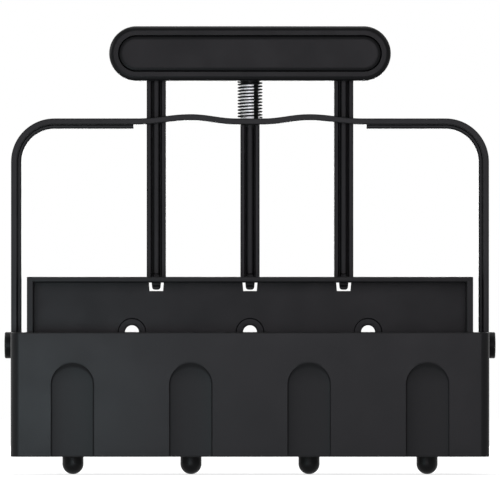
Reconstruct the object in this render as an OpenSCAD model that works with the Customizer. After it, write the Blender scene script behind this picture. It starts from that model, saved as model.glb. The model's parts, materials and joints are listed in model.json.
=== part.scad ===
// Soil blocker: a row of four open moulds, a sprung plunger with press plates and dibbers,
// a bail that carries the moulds and a pillared handle that pushes the plunger down.
// X runs along the row of moulds, -Y is the front and +Z is up, in millimetres.
// The origin is on the floor, under the middle, where the dibber tips stand.

/* [Moulds] */
// Inside width and depth of one square mould
cell = 50.8; // [42:0.1:62]
// Thickness of the dividers between moulds
divider_t = 2.0; // [1.5:0.1:3]
// Thickness of the two end walls
end_wall_t = 2.2; // [1.8:0.1:4]
// Thickness of the front and rear walls
side_wall_t = 3.0; // [2.4:0.1:5]
// Height of the mould block
mould_h = 55.5; // [46:0.5:75]
// Radius of its four upright corners
mould_corner_r = 4.0; // [1:0.5:6]
// Depth of the divider tops below the rim
divider_drop = 7.0; // [4:0.5:12]

/* [Flutes] */
// Width of the arched flutes in the front and rear walls
flute_w = 18.9; // [10:0.1:30]
// Depth of the flutes
flute_d = 1.2; // [0.6:0.1:1.8]
// Bare wall above the crown of each flute
flute_drop = 13.8; // [6:0.1:20]

/* [Bail] */
// Height of the crossbar top above the mould rim
bail_rise = 95.6; // [75:0.1:120]
// Width of the bail strap, front to rear
bail_w = 20; // [16:0.5:26]
// Thickness of the strap
strap_t = 2.7; // [2:0.1:4]
// Thickness of the stiffening rib inside the strap
rib_t = 1.9; // [1.2:0.1:3]
// Width of the stiffening rib, front to rear
rib_w = 12; // [9:0.5:16]
// Outer radius of the two upper corners
bail_corner_r = 19.4; // [12:0.1:26]
// Height of the two waves of the grip
wave_h = 1.9; // [0:0.1:4]
// Length of a wave from its crest towards the middle
wave_in = 20.2; // [12:0.1:21]
// Length of a wave from its crest towards the corner
wave_out = 24; // [12:0.1:26]
// Level strap between a wave and the end of the rib
grip_flat = 1.7; // [0.5:0.1:5]
// Radius of the two lower corners of a leg
leg_corner_r = 5; // [2:0.5:8]

/* [Pivots] */
// Diameter of the pivot pins
pin_d = 5.0; // [4:0.1:6]
// Diameter of the pin heads
pin_head_d = 11.8; // [9:0.1:13]
// Height of the pin heads, with their dome
pin_head_h = 3.1; // [2:0.1:4]
// Height of the dome on a pin head
pin_dome_h = 0.25; // [0.1:0.05:0.5]
// Depth of the pivot axis below the mould rim
pivot_drop = 5.8; // [5:0.1:9]
// Length of a leg below the pivot axis
leg_tail = 6.5; // [5:0.1:9]
// Thickness of the walls of a leg pocket
pocket_wall_t = 1.6; // [1.2:0.1:2.4]
// Diameter of the push-on clips
clip_d = 9.4; // [8:0.1:12]
// Thickness of the push-on clips
clip_t = 0.8; // [0.5:0.1:1]
// Pin left standing inside its clip
pin_end = 1.3; // [0.6:0.1:1.5]
// Chamfer at the tip of a pin
pin_chamfer = 0.4; // [0.2:0.1:0.6]

/* [Press frame] */
// Height of the frame top above the mould rim
frame_rise = 24.8; // [22:0.1:40]
// Thickness of the top flange
flange_t = 2.6; // [2:0.1:4]
// Thickness of the upright web
web_t = 2.4; // [1.8:0.1:3.4]
// Thickness of the two end plates
end_plate_t = 3.2; // [2:0.1:4]
// Radius of the slots that straddle the dividers
slot_r = 3.1; // [2.6:0.1:3.8]
// Outer radius of the collar round each slot
collar_r = 6.4; // [5:0.1:8]
// Height of the collars on each face of the web
collar_proud = 1.2; // [0.6:0.1:2]
// Width of the windows under the flange
window_w = 6.75; // [5:0.05:8]
// Height of the windows under the flange
window_h = 4.15; // [3:0.05:6]
// Diameter of the sockets that take the dibber studs
socket_d = 9.0; // [8:0.1:12]

/* [Press plates and dibbers] */
// Thickness of the press plates
plate_t = 2.5; // [2:0.1:4]
// Radius of the plate corners
plate_corner_r = 1.5; // [0.5:0.1:4]
// Diameter of the dibbers
dibber_d = 9.5; // [8:0.1:12]
// Length of dibber that shows below the moulds
dibber_proud = 8.0; // [5:0.1:14]
// Diameter of the dibber studs
stud_d = 5.0; // [4:0.1:6]
// Length of the stud inside its socket
stud_l = 12; // [8:0.5:16]

/* [Pillars] */
// Width and depth of the pillars
pillar_w = 8.6; // [7:0.1:10.4]
// Distance of the outer pillars from the handle ends
pillar_inset = 21.05; // [19:0.05:30]
// Width of the grooves in the pillar faces
groove_w = 0.9; // [0.5:0.1:1.2]
// Depth of the grooves in the pillar faces
groove_d = 1.6; // [0.8:0.1:2.2]
// Width of the rib between two grooves
pillar_rib_w = 2.8; // [2:0.1:3.4]
// Width of the snap tongues
tongue_w = 4.2; // [3.4:0.1:4.8]
// Depth of the snap tongues, front to rear
tongue_d = 5.0; // [4:0.1:6]
// Length of the tongue below the flange
tongue_l = 3.2; // [2.6:0.1:3.6]
// Overhang of the barbs under the flange
barb = 0.6; // [0.3:0.1:1]
// Radius of the corners at the foot of a tongue
tongue_foot_r = 1.3; // [0.5:0.1:1.6]
// Length of pillar above the middle of the handle
pillar_end = 6.1; // [4:0.1:8]

/* [Spring] */
// Space between the crossbar and the handle
spring_gap = 16.8; // [15.6:0.1:24]
// How far the plunger can be pressed down
travel = 9.0; // [5:0.1:9.2]
// Diameter of the spring wire
wire_d = 0.6; // [0.4:0.05:0.62]
// Turns of the spring
turns = 11; // [6:1:11]
// Wall of the steel sleeve
sleeve_wall = 0.5; // [0.4:0.05:0.8]
// Height of the collar between the sleeve and the handle
neck_collar_h = 1.6; // [1:0.1:3]

/* [Handle] */
// Length of the handle
handle_l = 125.9; // [104:0.1:155]
// Height of the handle
handle_h = 24.4; // [22:0.1:30]
// Depth of the handle, front to rear
handle_d = 26; // [22:0.5:32]
// Wall of the two handle shells
handle_wall = 2.4; // [2:0.1:3]
// Border round the face plate
face_border = 4.15; // [3:0.05:6]
// Width of the seam round the face plate
face_seam = 0.45; // [0.2:0.05:0.8]
// Thickness of the face plate
face_t = 1.2; // [0.8:0.1:1.2]
// Diameter of the handle screws
screw_d = 3.0; // [2.5:0.1:3.5]
// Diameter of the screw heads
screw_head_d = 5.8; // [5:0.1:6]
// Height of the screw heads
screw_head_h = 2.0; // [1.5:0.1:2.4]
// Depth of the screw heads below the rear face
screw_sink = 1.0; // [0.5:0.1:2]
// Thickness of the seats under the screw heads
screw_seat_t = 1.6; // [1.2:0.1:2.4]
// Thickness of the rings round the screw heads
screw_ring_t = 1.2; // [1:0.1:2]
// Front shell left in front of the screw holes
screw_cover = 2.2; // [1.6:0.1:3]
// Diameter of the screw bosses inside the shells
boss_d = 7.4; // [7:0.1:9]

/* [Clearances] */
// Between the leg and the floor of its pocket
leg_end_gap = 0.3; // [0.2:0.05:0.6]
// Between the leg and the inner wall of its pocket
leg_gap = 0.2; // [0.1:0.05:0.5]
// Between the leg and the side walls of its pocket
leg_side_gap = 0.5; // [0.2:0.05:1]
// Between the press frame and the leg pockets
frame_gap = 0.8; // [0.5:0.1:2]
// Between the press plates and the mould walls
plate_gap = 0.4; // [0.3:0.05:0.8]
// Between the press plates and the pockets over them
plate_head_gap = 0.8; // [0.4:0.1:2]
// Between the pin clips and the notches that pass over them
notch_gap = 3.3; // [2.6:0.1:4]
// Between the press frame flange and the line of the mould walls
flange_inset = 3.4; // [2:0.1:6]
// Between the slots and the dividers at full travel
slot_head_gap = 1.1; // [0.6:0.1:2]
// Between the pillars and the holes in the crossbar
pillar_gap = 0.35; // [0.3:0.05:0.6]
// Between the shoulder of the middle pillar and the crossbar
stop_gap = 0.3; // [0.3:0.05:0.6]
// Between the spring and the sleeve
coil_gap = 0.65; // [0.4:0.05:1]
// Between each end of the spring and its seat
coil_seat_gap = 0.1; // [0.05:0.01:0.2]
// Between the screw heads and the rings round them
screw_head_gap = 0.3; // [0.2:0.05:0.5]
// Between the screw tips and the ends of their holes
screw_tip_gap = 0.4; // [0.2:0.1:1]
// Radial clearance of pins, studs, sleeve and screws
fit = 0.05; // [0.02:0.01:0.1]
// Sideways clearance of parts that are slid together by hand
hand_fit = 0.1; // [0.05:0.05:0.3]

/* [Hidden] */
$fn = 64;

// Colours: black moulded plastic in three tints, black wire and bright steel.
mould_black = [0.20, 0.21, 0.22];
handle_black = [0.17, 0.17, 0.18];
frame_black = [0.16, 0.16, 0.17];
pin_black = [0.13, 0.13, 0.14];
wire_black = [0.07, 0.07, 0.08];
steel = [0.80, 0.81, 0.82];

// Extra length of a cutting tool past the face that it opens.
over = 1;
// Length by which a feature is sunk into the body that it grows from.
sink = 0.5;

// The row of moulds
cells = 4;
pitch = cell + divider_t;
mould_z = dibber_proud;
rim_z = mould_z + mould_h;
inner_hx = (cells * cell + (cells - 1) * divider_t) / 2;
mould_hx = inner_hx + end_wall_t;
mould_hy = cell / 2 + side_wall_t;
divider_top_z = rim_z - divider_drop;
divider_xs = [for (i = [1:cells - 1]) (i - cells / 2) * pitch];
function cell_x(number) = (number - (cells + 1) / 2) * pitch;
flute_crown_z = rim_z - flute_drop;

// Bail legs and the pockets that take them
leg_t = strap_t + rib_t;
pivot_z = rim_z - pivot_drop;
leg_z = pivot_z - leg_tail;
pocket_z = leg_z - leg_end_gap;
pocket_x = mould_hx - leg_t - leg_gap;
pocket_wall_x = pocket_x - pocket_wall_t;
pocket_hy = bail_w / 2 + leg_side_gap;
pin_tip_x = pocket_wall_x - clip_t - pin_end;

// Press plates and dibbers
plate_top_z = pocket_z - pocket_wall_t - plate_head_gap;
plate_z = plate_top_z - plate_t;
socket_top_z = plate_top_z + stud_l + web_t;

// Press frame
frame_hx = pocket_wall_x - frame_gap;
frame_hy = cell / 2 - flange_inset;
frame_top_z = rim_z + frame_rise;
flange_z = frame_top_z - flange_t;
web_hx = frame_hx - end_plate_t;
slot_z = divider_top_z + travel + slot_head_gap - slot_r;
notch_r = clip_d / 2 + notch_gap;

// Crossbar, pillars and handle
bar_top_z = rim_z + bail_rise;
bar_z = bar_top_z - strap_t;
wave_x = pitch / 2;
grip_x = wave_x + wave_out + grip_flat;
pillar_x = handle_l / 2 - pillar_inset;
shoulder_z = bar_z - stop_gap;
handle_z = bar_top_z + spring_gap;
handle_mid_z = handle_z + handle_h / 2;
pillar_top_z = handle_mid_z + pillar_end;
end_screw_x = (pillar_x + pillar_w / 2 + handle_l / 2 - handle_wall) / 2;
screw_xs = [-end_screw_x, -pillar_x, 0, pillar_x, end_screw_x];
neck_d = pillar_w - 2 * sleeve_wall - 2 * fit;
collar_z = handle_z - neck_collar_h;
screw_seat_y = handle_d / 2 - screw_head_h - screw_sink;
screw_tip_y = -handle_d / 2 + face_t + screw_cover + screw_tip_gap;

// Spring: a tube of rings along a right-handed helix that starts at the left.
coil_r = pillar_w / 2 + coil_gap + wire_d / 2;
coil_steps = 8;
coil_sides = 6;
coil_rings = turns * coil_steps;
coil_rise = (spring_gap - wire_d - 2 * coil_seat_gap) / turns;
coil_slope = atan(coil_rise / (2 * PI * coil_r));
function coil_angle(i) = 180 + 360 * i / coil_steps;
function coil_centre(i) = [
    coil_r * cos(coil_angle(i)),
    coil_r * sin(coil_angle(i)),
    bar_top_z + coil_seat_gap + wire_d / 2 + coil_rise * i / coil_steps
];
function coil_out(i) = [cos(coil_angle(i)), sin(coil_angle(i)), 0];
function coil_up(i) = [
    sin(coil_angle(i)) * sin(coil_slope),
    -cos(coil_angle(i)) * sin(coil_slope),
    cos(coil_slope)
];
function coil_point(i, k) = coil_centre(i)
    + wire_d / 2 * cos(360 * k / coil_sides) * coil_out(i)
    + wire_d / 2 * sin(360 * k / coil_sides) * coil_up(i);
coil_points = [for (i = [0:coil_rings]) for (k = [0:coil_sides - 1]) coil_point(i, k)];
function coil_id(i, k) = i * coil_sides + (k % coil_sides);
coil_faces = concat(
    [for (i = [0:coil_rings - 1]) for (k = [0:coil_sides - 1])
        [coil_id(i, k), coil_id(i + 1, k), coil_id(i + 1, k + 1)]],
    [for (i = [0:coil_rings - 1]) for (k = [0:coil_sides - 1])
        [coil_id(i, k), coil_id(i + 1, k + 1), coil_id(i, k + 1)]],
    [for (k = [1:coil_sides - 2]) [coil_id(0, 0), coil_id(0, k), coil_id(0, k + 1)]],
    [for (k = [1:coil_sides - 2])
        [coil_id(coil_rings, 0), coil_id(coil_rings, k + 1), coil_id(coil_rings, k)]]
);
// Least distance between points of the tube that lie about one turn apart.
function coil_gap_at(i) = min([
    for (j = [i + coil_steps - 2:min(i + coil_steps + 2, coil_rings)])
        for (k = [0:coil_sides - 1]) for (m = [0:coil_sides - 1])
            norm(coil_point(i, k) - coil_point(j, m))
]);
function coil_least_gap() = min([for (i = [0:coil_rings - coil_steps]) coil_gap_at(i)]);

// Rise of the strap over its level line, a raised cosine each side of a crest.
function wave_side(x) = abs(x) < wave_x ? wave_in : wave_out;
function wave_part(x) = min(1, abs(abs(x) - wave_x) / wave_side(x));
function wave(x) = wave_h * (1 + cos(180 * wave_part(x))) / 2;
wave_steps = 48;
function wave_at(i) = -grip_x + 2 * grip_x * i / wave_steps;

// ---- Shared shapes -------------------------------------------------------------------

module block(x0, x1, y0, y1, z0, z1) {
    translate([x0, y0, z0]) cube([x1 - x0, y1 - y0, z1 - z0]);
}

// A rod along X or along Y between two places.
module x_rod(d, x0, x1, y, z) {
    translate([min(x0, x1), y, z]) rotate([0, 90, 0]) cylinder(d = d, h = abs(x1 - x0));
}

module y_rod(d, y0, y1, x, z) {
    translate([x, max(y0, y1), z]) rotate([90, 0, 0]) cylinder(d = d, h = abs(y1 - y0));
}

module rounded_rect(w, d, r) {
    square([w - 2 * r, d], center = true);
    square([w, d - 2 * r], center = true);
    for (x = [-1, 1]) for (y = [-1, 1])
        translate([x * (w / 2 - r), y * (d / 2 - r)]) circle(r);
}

// An outline drawn in X and Z, given a thickness along Y between two places.
module upright(y0, y1) {
    translate([0, y1, 0]) rotate([90, 0, 0]) linear_extrude(y1 - y0) children();
}

// The handle's outline: straight top and bottom with half-round ends.
module stadium(inset) {
    straight = handle_l - handle_h;
    square([straight, handle_h - 2 * inset], center = true);
    for (side = [-1, 1]) translate([side * straight / 2, 0]) circle(handle_h / 2 - inset);
}

module handle_slab(inset, y0, y1) {
    upright(y0, y1) translate([0, handle_mid_z]) stadium(inset);
}

// ---- Moulds --------------------------------------------------------------------------

module flute() {
    r = flute_w / 2;
    top = flute_crown_z - r;
    upright(-mould_hy - over, -mould_hy + flute_d) {
        translate([-r, mould_z - over]) square([flute_w, top - mould_z + over]);
        translate([0, top]) circle(r);
    }
}

module pocket_bulge(side) {
    y = pocket_hy + pocket_wall_t;
    mirror([side < 0 ? 1 : 0, 0, 0])
        block(pocket_wall_x, mould_hx - end_wall_t / 2, -y, y, pocket_z - pocket_wall_t, rim_z);
}

module pocket_recess(side) {
    mirror([side < 0 ? 1 : 0, 0, 0]) {
        block(pocket_x, mould_hx + over, -pocket_hy, pocket_hy, pocket_z, rim_z + over);
        x_rod(pin_d + 2 * fit, pocket_wall_x - over, pocket_x + over, 0, pivot_z);
    }
}

module mould_housing() {
    color(mould_black) difference() {
        union() {
            difference() {
                translate([0, 0, mould_z]) linear_extrude(mould_h)
                    rounded_rect(2 * mould_hx, 2 * mould_hy, mould_corner_r);
                block(-inner_hx, inner_hx, -cell / 2, cell / 2, mould_z - over, rim_z + over);
            }
            for (x = divider_xs)
                block(x - divider_t / 2, x + divider_t / 2,
                      -mould_hy + side_wall_t / 2, mould_hy - side_wall_t / 2,
                      mould_z, divider_top_z);
            for (side = [-1, 1]) pocket_bulge(side);
        }
        for (side = [-1, 1]) pocket_recess(side);
        for (i = [1:cells]) for (face = [0, 1])
            mirror([0, face, 0]) translate([cell_x(i), 0, 0]) flute();
    }
}

// ---- Bail ----------------------------------------------------------------------------

// One leg as a plate across X, rounded at its lower corners.
module leg_plate(x0, x1, w) {
    r = min(leg_corner_r, w / 2 - sink);
    top = bar_top_z - bail_corner_r;
    translate([x0, 0, 0]) rotate([90, 0, 90]) linear_extrude(x1 - x0) {
        translate([-w / 2, leg_z + r]) square([w, top - leg_z - r]);
        translate([-w / 2 + r, leg_z]) square([w - 2 * r, r + sink]);
        for (s = [-1, 1]) translate([s * (w / 2 - r), leg_z + r]) circle(r);
    }
}

// A quarter ring at the right-hand upper corner, drawn in X and Z.
module corner_ring(r_out, r_in) {
    translate([mould_hx - bail_corner_r, bar_top_z - bail_corner_r]) intersection() {
        difference() {
            circle(r_out, $fn = 96);
            circle(r_in, $fn = 96);
        }
        square(r_out + over);
    }
}

// The grip: a strap of even thickness whose two waves rise over the level line.
module wavy_strap() {
    polygon(concat(
        [for (i = [0:wave_steps]) [wave_at(i), bar_top_z + wave(wave_at(i))]],
        [for (i = [wave_steps:-1:0]) [wave_at(i), bar_z + wave(wave_at(i))]]
    ));
}

module bail_side() {
    x_in = mould_hx - leg_t;
    corner_x = mould_hx - bail_corner_r;
    leg_plate(mould_hx - strap_t, mould_hx, bail_w);
    leg_plate(x_in, mould_hx - strap_t, rib_w);
    upright(-bail_w / 2, bail_w / 2) {
        corner_ring(bail_corner_r, bail_corner_r - strap_t);
        translate([grip_x, bar_z]) square([corner_x - grip_x, strap_t]);
    }
    upright(-rib_w / 2, rib_w / 2) {
        corner_ring(bail_corner_r - strap_t, bail_corner_r - leg_t);
        translate([grip_x, bar_z - rib_t]) square([corner_x - grip_x, rib_t]);
    }
}

module bail_handle() {
    hole = pillar_w / 2 + pillar_gap;
    color(mould_black) difference() {
        union() {
            upright(-bail_w / 2, bail_w / 2) wavy_strap();
            for (side = [0, 1]) mirror([side, 0, 0]) bail_side();
        }
        for (x = [-pillar_x, pillar_x])
            block(x - hole, x + hole, -hole, hole, bar_z - rib_t - over, bar_top_z + wave_h + over);
        translate([0, 0, bar_z - over]) cylinder(r = hole, h = strap_t + wave_h + 2 * over);
        x_rod(pin_d + 2 * fit, -mould_hx - over, mould_hx + over, 0, pivot_z);
    }
}

// ---- Pivots --------------------------------------------------------------------------

// Pin along +X: shank from its tip to the head, then the head with a shallow dome.
module pivot_pin() {
    head_r = pin_head_d / 2;
    rim = mould_hx + pin_head_h - pin_dome_h;
    dome_steps = 6;
    color(pin_black) translate([0, 0, pivot_z]) rotate([0, 90, 0]) rotate_extrude()
        polygon(concat(
            [[0, pin_tip_x], [pin_d / 2 - pin_chamfer, pin_tip_x],
             [pin_d / 2, pin_tip_x + pin_chamfer]],
            [[pin_d / 2, mould_hx], [head_r, mould_hx]],
            [for (i = [dome_steps:-1:0])
                [head_r * i / dome_steps, rim + pin_dome_h * (1 - pow(i / dome_steps, 2))]]
        ));
}

module pivot_clip() {
    color(steel) translate([pocket_wall_x - clip_t, 0, pivot_z]) rotate([0, 90, 0])
        difference() {
            cylinder(d = clip_d, h = clip_t);
            translate([0, 0, -over]) cylinder(d = pin_d + fit, h = clip_t + 2 * over);
        }
}

module left_pivot_pin() { mirror([1, 0, 0]) pivot_pin(); }
module right_pivot_pin() { pivot_pin(); }
module left_pivot_clip() { mirror([1, 0, 0]) pivot_clip(); }
module right_pivot_clip() { pivot_clip(); }

// ---- Spring and its sleeve -----------------------------------------------------------

module return_spring() {
    echo(spring_least_gap = coil_least_gap());
    color(wire_black) polyhedron(points = coil_points, faces = coil_faces);
}

// A rolled sleeve with its seam at the rear.
module spring_guide_sleeve() {
    seam = 0.5;
    color(steel) difference() {
        translate([0, 0, shoulder_z]) cylinder(d = pillar_w, h = collar_z - shoulder_z);
        translate([0, 0, shoulder_z - over])
            cylinder(d = neck_d + 2 * fit, h = collar_z - shoulder_z + 2 * over);
        block(-seam / 2, seam / 2, 0, pillar_w, shoulder_z - over, collar_z + over);
    }
}

// ---- Press frame ---------------------------------------------------------------------

module divider_slot(x) {
    translate([x, 0, 0]) upright(-frame_hy, frame_hy) {
        translate([0, slot_z]) circle(slot_r);
        translate([-slot_r, plate_top_z - over]) square([2 * slot_r, slot_z - plate_top_z + over]);
    }
}

// Opening in an end plate that passes over the pin and its clip.
module pin_notch() {
    upper = pivot_z + travel;
    translate([-frame_hx - over, 0, 0]) rotate([90, 0, 90])
        linear_extrude(2 * frame_hx + 2 * over) {
            translate([-notch_r, plate_top_z - over])
                square([2 * notch_r, upper - plate_top_z + over]);
            translate([0, upper]) circle(notch_r);
        }
}

module end_plates() {
    difference() {
        for (side = [0, 1]) mirror([side, 0, 0])
            block(web_hx, frame_hx, -frame_hy, frame_hy, plate_top_z, flange_z + flange_t / 2);
        pin_notch();
    }
}

module press_frame() {
    hole = [tongue_w / 2 + hand_fit, tongue_d / 2 + hand_fit];
    color(frame_black) difference() {
        union() {
            block(-frame_hx, frame_hx, -frame_hy, frame_hy, flange_z, frame_top_z);
            block(-web_hx, web_hx, -web_t / 2, web_t / 2, plate_top_z, flange_z + flange_t / 2);
            end_plates();
            for (x = divider_xs)
                y_rod(2 * collar_r, -web_t / 2 - collar_proud, web_t / 2 + collar_proud, x, slot_z);
            for (i = [1:cells]) translate([cell_x(i), 0, plate_top_z])
                cylinder(d = socket_d, h = socket_top_z - plate_top_z);
        }
        for (x = divider_xs) divider_slot(x);
        for (i = [1:cells]) translate([cell_x(i), 0, plate_top_z - over])
            cylinder(d = stud_d + 2 * fit, h = stud_l + 2 * over);
        for (x = [-pillar_x, 0, pillar_x]) {
            block(x - window_w / 2, x + window_w / 2, -frame_hy, frame_hy,
                  flange_z - window_h, flange_z);
            block(x - hole[0], x + hole[0], -hole[1], hole[1], flange_z - over, frame_top_z + over);
        }
    }
}

// ---- Press plates and dibbers --------------------------------------------------------

module press_plate(number) {
    lug_l = 10;
    lug_t = 1.6;
    lug_h = 3;
    color(frame_black) translate([cell_x(number), 0, 0]) difference() {
        union() {
            translate([0, 0, plate_z]) linear_extrude(plate_t)
                rounded_rect(cell - 2 * plate_gap, cell - 2 * plate_gap, plate_corner_r);
            for (x = [-1, 1]) for (y = [0, 1]) mirror([0, y, 0])
                translate([x * cell / 4 - lug_l / 2, web_t / 2 + hand_fit, plate_z])
                    cube([lug_l, lug_t, plate_t + lug_h]);
        }
        translate([0, 0, plate_z - over]) cylinder(d = stud_d + 2 * fit, h = plate_t + 2 * over);
    }
}

// Rod with a round tip; its shoulder clamps the plate and its stud holds in the frame.
module dibber(number) {
    r = dibber_d / 2;
    color(frame_black) translate([cell_x(number), 0, 0]) union() {
        intersection() {
            translate([0, 0, r]) sphere(r);
            cylinder(r = r + over, h = r);
        }
        translate([0, 0, r]) cylinder(r = r, h = plate_z - r);
        translate([0, 0, plate_z]) cylinder(d = stud_d, h = plate_t + stud_l);
    }
}

module press_plate_1() { press_plate(1); }
module press_plate_2() { press_plate(2); }
module press_plate_3() { press_plate(3); }
module press_plate_4() { press_plate(4); }
module dibber_1() { dibber(1); }
module dibber_2() { dibber(2); }
module dibber_3() { dibber(3); }
module dibber_4() { dibber(4); }

// ---- Pillars -------------------------------------------------------------------------

module pillar_section() {
    difference() {
        square(pillar_w, center = true);
        for (x = [-1, 1]) for (y = [-1, 1])
            translate([x * (pillar_rib_w + groove_w) / 2 - groove_w / 2,
                       y * (pillar_w / 2 - groove_d / 2) - groove_d / 2])
                square([groove_w, groove_d + (y > 0 ? over : 0)]);
        for (x = [-1, 1])
            translate([x * (pillar_rib_w + groove_w) / 2 - groove_w / 2, -pillar_w / 2 - over])
                square([groove_w, 2 * over]);
    }
}

// Snap tongue below the shoulder: tapered from the front and barbed in Y.
module snap_tongue() {
    taper = 0.3;
    foot_z = flange_z - tongue_l;
    foot_w = tongue_w - 2 * taper;
    r = min(tongue_foot_r, foot_w / 2 - taper);
    hook = tongue_d / 2 + hand_fit + barb;
    hook_h = 0.5;
    upright(-tongue_d / 2, tongue_d / 2) {
        polygon([
            [-tongue_w / 2, frame_top_z + sink], [tongue_w / 2, frame_top_z + sink],
            [tongue_w / 2, flange_z], [foot_w / 2, foot_z + r],
            [-foot_w / 2, foot_z + r], [-tongue_w / 2, flange_z]
        ]);
        translate([r - foot_w / 2, foot_z]) square([foot_w - 2 * r, 2 * r]);
        for (side = [-1, 1]) translate([side * (foot_w / 2 - r), foot_z + r]) circle(r);
    }
    translate([-foot_w / 2, 0, 0]) rotate([90, 0, 90]) linear_extrude(foot_w)
        polygon([
            [-hook, flange_z], [hook, flange_z], [hook, flange_z - hook_h],
            [tongue_d / 2 - taper, foot_z + r], [taper - tongue_d / 2, foot_z + r],
            [-hook, flange_z - hook_h]
        ]);
}

// The eye near the top lets a handle screw through.
module pillar_eye(x) {
    y_rod(screw_d + 4 * fit, -pillar_w, pillar_w, x, handle_mid_z);
}

module outer_pillar(x) {
    color(frame_black) difference() {
        translate([x, 0, 0]) union() {
            translate([0, 0, frame_top_z]) linear_extrude(pillar_top_z - frame_top_z)
                pillar_section();
            snap_tongue();
        }
        pillar_eye(x);
    }
}

module left_pillar() { outer_pillar(-pillar_x); }
module right_pillar() { outer_pillar(pillar_x); }

// The middle pillar turns round above its shoulder, where it carries the sleeve.
module centre_pillar() {
    color(frame_black) difference() {
        union() {
            translate([0, 0, frame_top_z]) linear_extrude(shoulder_z - frame_top_z)
                pillar_section();
            snap_tongue();
            translate([0, 0, shoulder_z - sink])
                cylinder(d = neck_d, h = collar_z - shoulder_z + 2 * sink);
            translate([0, 0, collar_z]) cylinder(d = pillar_w, h = pillar_top_z - collar_z);
        }
        pillar_eye(0);
    }
}

// ---- Handle --------------------------------------------------------------------------

module pillar_holes() {
    hole = pillar_w / 2 + hand_fit;
    for (x = [-pillar_x, pillar_x])
        block(x - hole, x + hole, -hole, hole, handle_z - over, handle_mid_z);
    translate([0, 0, handle_z - over]) cylinder(r = hole, h = handle_mid_z - handle_z + over);
}

module shell(y_wall, y_inner) {
    difference() {
        handle_slab(0, min(0, y_wall), max(0, y_wall));
        handle_slab(handle_wall, min(0, y_inner) - (y_inner > 0 ? over : 0),
                    max(0, y_inner) + (y_inner < 0 ? over : 0));
    }
}

// Bosses reach from a shell's wall to the pillars, and to the parting plane at the ends.
module bosses(y_inner) {
    side = sign(y_inner);
    reach = y_inner + side * sink;
    for (x = [-pillar_x, 0, pillar_x])
        y_rod(boss_d, side * (pillar_w / 2 + fit), reach, x, handle_mid_z);
    for (x = [-end_screw_x, end_screw_x]) y_rod(boss_d, 0, reach, x, handle_mid_z);
}

module handle_front_shell() {
    y_wall = -handle_d / 2;
    y_inner = y_wall + handle_wall;
    color(handle_black) difference() {
        union() {
            shell(y_wall, y_inner);
            bosses(y_inner);
        }
        pillar_holes();
        handle_slab(face_border, y_wall - over, y_wall + face_t);
        for (x = screw_xs)
            y_rod(screw_d + 2 * fit, screw_tip_y - screw_tip_gap, over, x, handle_mid_z);
    }
}

module handle_rear_shell() {
    y_wall = handle_d / 2;
    y_inner = y_wall - handle_wall;
    recess_d = screw_head_d + 2 * screw_head_gap;
    color(handle_black) difference() {
        union() {
            shell(y_wall, y_inner);
            bosses(y_inner);
            for (x = screw_xs)
                y_rod(recess_d + 2 * screw_ring_t, screw_seat_y - screw_seat_t, y_inner + sink,
                      x, handle_mid_z);
        }
        pillar_holes();
        for (x = screw_xs) {
            y_rod(screw_d + 4 * fit, -over, y_wall, x, handle_mid_z);
            y_rod(recess_d, screw_seat_y, y_wall + over, x, handle_mid_z);
        }
    }
}

module handle_face_plate() {
    y_wall = -handle_d / 2;
    color(handle_black) handle_slab(face_border + face_seam, y_wall, y_wall + face_t);
}

// Pan-headed screw along Y with a cross recess.
module handle_screw(x) {
    head_y = screw_seat_y + screw_head_h;
    cross_w = 0.8;
    cross_l = 3.2;
    cross_depth = 0.9;
    difference() {
        union() {
            y_rod(screw_d, screw_tip_y, screw_seat_y + sink, x, handle_mid_z);
            y_rod(screw_head_d, screw_seat_y, head_y, x, handle_mid_z);
        }
        for (turn = [0, 90])
            translate([x, head_y, handle_mid_z]) rotate([0, turn, 0])
                cube([cross_l, 2 * cross_depth, cross_w], center = true);
    }
}

module handle_screws() {
    color(steel) for (x = screw_xs) handle_screw(x);
}

mould_housing();
bail_handle();
left_pivot_pin();
right_pivot_pin();
left_pivot_clip();
right_pivot_clip();
return_spring();
press_frame();
press_plate_1();
press_plate_2();
press_plate_3();
press_plate_4();
dibber_1();
dibber_2();
dibber_3();
dibber_4();
left_pillar();
centre_pillar();
right_pillar();
spring_guide_sleeve();
handle_front_shell();
handle_rear_shell();
handle_face_plate();
handle_screws();
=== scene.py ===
# %% [markdown]
# # A soil blocker
# A soil blocker is a garden hand tool. Its row of square moulds is pushed into
# damp compost. Then the handle is pressed, four plates slide down inside the
# moulds, and out come four blocks of soil with a hole for a seed in each.
#
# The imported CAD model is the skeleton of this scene. It says where every part
# sits and how the plunger slides. Blender adds what the eye expects of moulded
# plastic: rounded edges, dished flutes, a fine grain and soft light.

import json

import bmesh
import bpy
import numpy as np
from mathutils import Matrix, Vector
from mathutils.geometry import tessellate_polygon


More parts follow.
